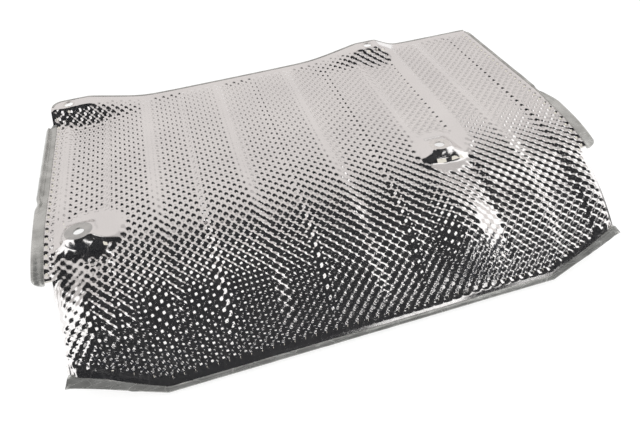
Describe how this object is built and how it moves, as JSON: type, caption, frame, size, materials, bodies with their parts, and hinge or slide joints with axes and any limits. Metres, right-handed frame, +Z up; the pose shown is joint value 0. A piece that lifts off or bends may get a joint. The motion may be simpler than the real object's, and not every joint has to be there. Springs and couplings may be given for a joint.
{
  "type": "exhaust manifold heat shield",
  "caption": "Embossed sandwich sheet heat shield with a flat roof, a curved front apron, folded hems and four raised seats with round bolt holes.",
  "frame": {"origin": "centre of the bounding box on the plane that the shield lies on, which touches its rear hem and its front hem", "axes": "+X along the width to the right seen from the apron, +Y from the apron to the rear edge, +Z up"},
  "size_m": [0.3932, 0.2736, 0.047],
  "materials": {
    "outer_sheet": "bright embossed mill finish",
    "inner_sheet": "bright embossed mill finish",
    "insulation": "pressed mineral fibre mat",
    "hem": "smooth folded, satin with scuffs",
    "bolt_seat": "coined smooth, satin"
  },
  "bodies": {
    "root": {"outer_sheet": "outer_sheet", "insulation_mat": "insulation", "inner_sheet": "inner_sheet", "rear_hem": "hem", "front_hem": "hem", "front_hem_left_corner": "hem", "front_hem_right_corner": "hem", "left_side_hem": "hem", "right_side_hem": "hem", "rear_left_bolt_seat": "bolt_seat", "rear_right_bolt_seat": "bolt_seat", "front_left_bolt_seat": "bolt_seat", "front_right_bolt_seat": "bolt_seat"}
  },
  "joints": []
}
